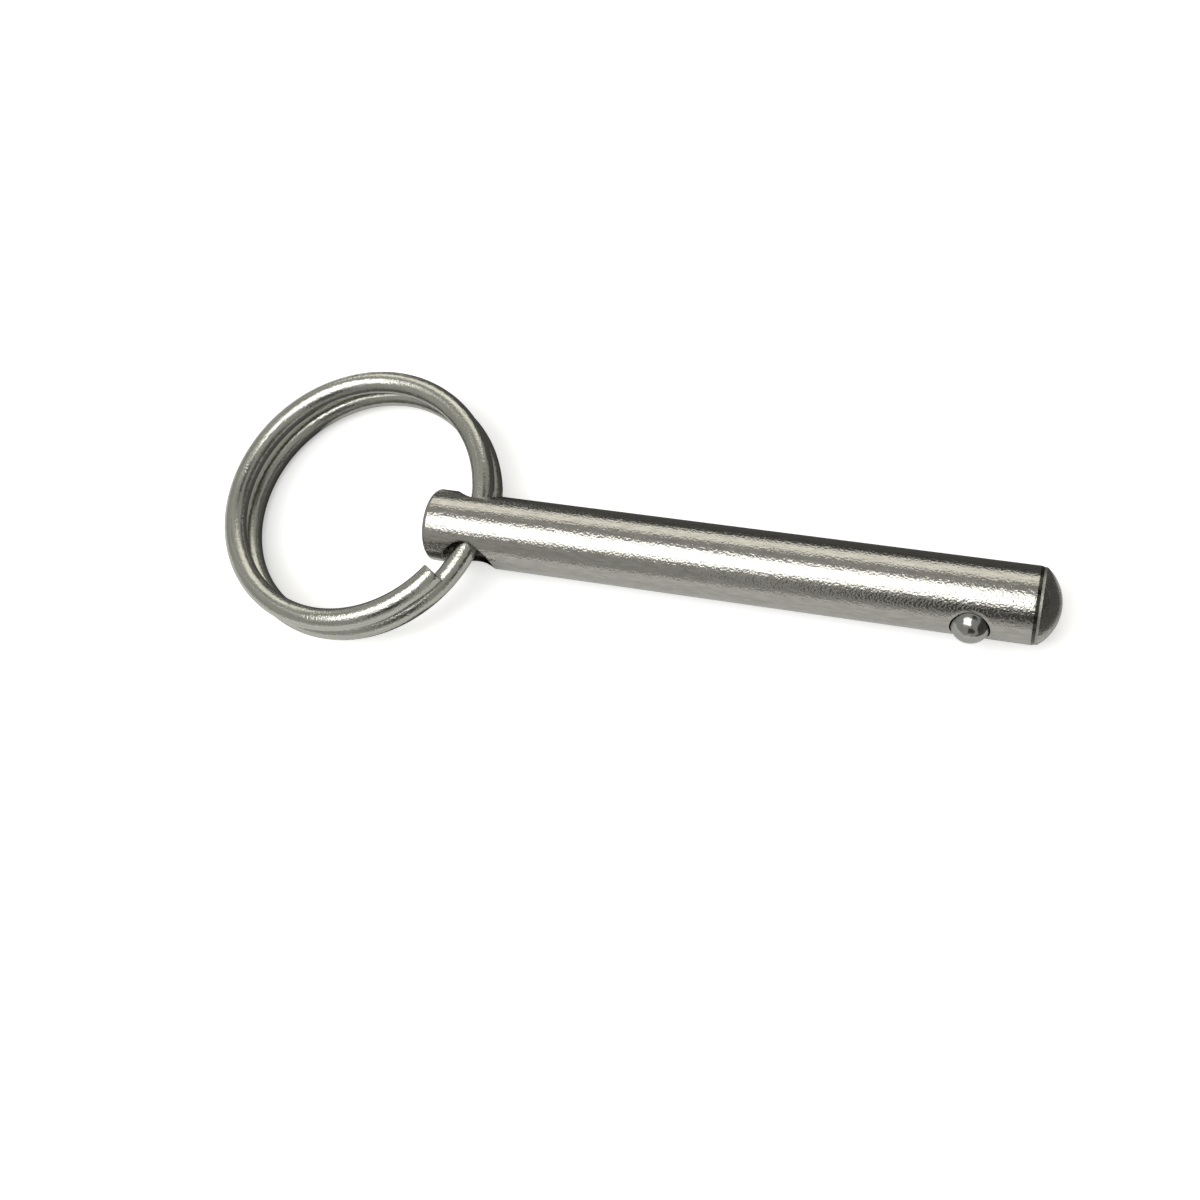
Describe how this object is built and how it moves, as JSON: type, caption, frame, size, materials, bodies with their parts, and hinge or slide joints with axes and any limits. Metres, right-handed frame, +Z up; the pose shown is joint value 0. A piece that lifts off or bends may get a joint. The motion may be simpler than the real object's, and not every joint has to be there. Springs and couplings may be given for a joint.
{
  "type": "quick release pin",
  "caption": "Slim steel quick release pin with a spring-loaded detent ball near its rounded nose and a split ring pull through its head end.",
  "frame": {"origin": "centre of the flat face at the pin's head end, on the pin's axis", "axes": "+X along the pin towards its nose, +Z up as the pin lies on a table with its ring laid flat, +Y away from the detent ball's side"},
  "size_m": [0.0742, 0.0256, 0.007],
  "materials": {
    "pin_steel": "satin turned stainless steel with a fine grain",
    "ball_steel": "polished hardened steel",
    "spring_steel": "plain drawn spring wire",
    "ring_steel": "bright drawn wire"
  },
  "bodies": {
    "pin": {"pin_body": "pin_steel", "detent_spring": "spring_steel"},
    "ball": {"detent_ball": "ball_steel"},
    "ring": {"split_ring": "ring_steel"}
  },
  "joints": [
    {"name": "ring_swing", "type": "hinge", "parent": "pin", "child": "ring", "pos_m": [0.004, 0, 0], "axis": [0, 1, 0], "range_deg": [-158, 163]},
    {"name": "ball_press", "type": "slide", "parent": "pin", "child": "ball", "axis": [0, 0.9659, -0.2588], "range_m": [0, 0.001], "stiffness_N_per_m": 800, "springref_m": -0.0006, "deforming": ["detent_spring"]}
  ]
}
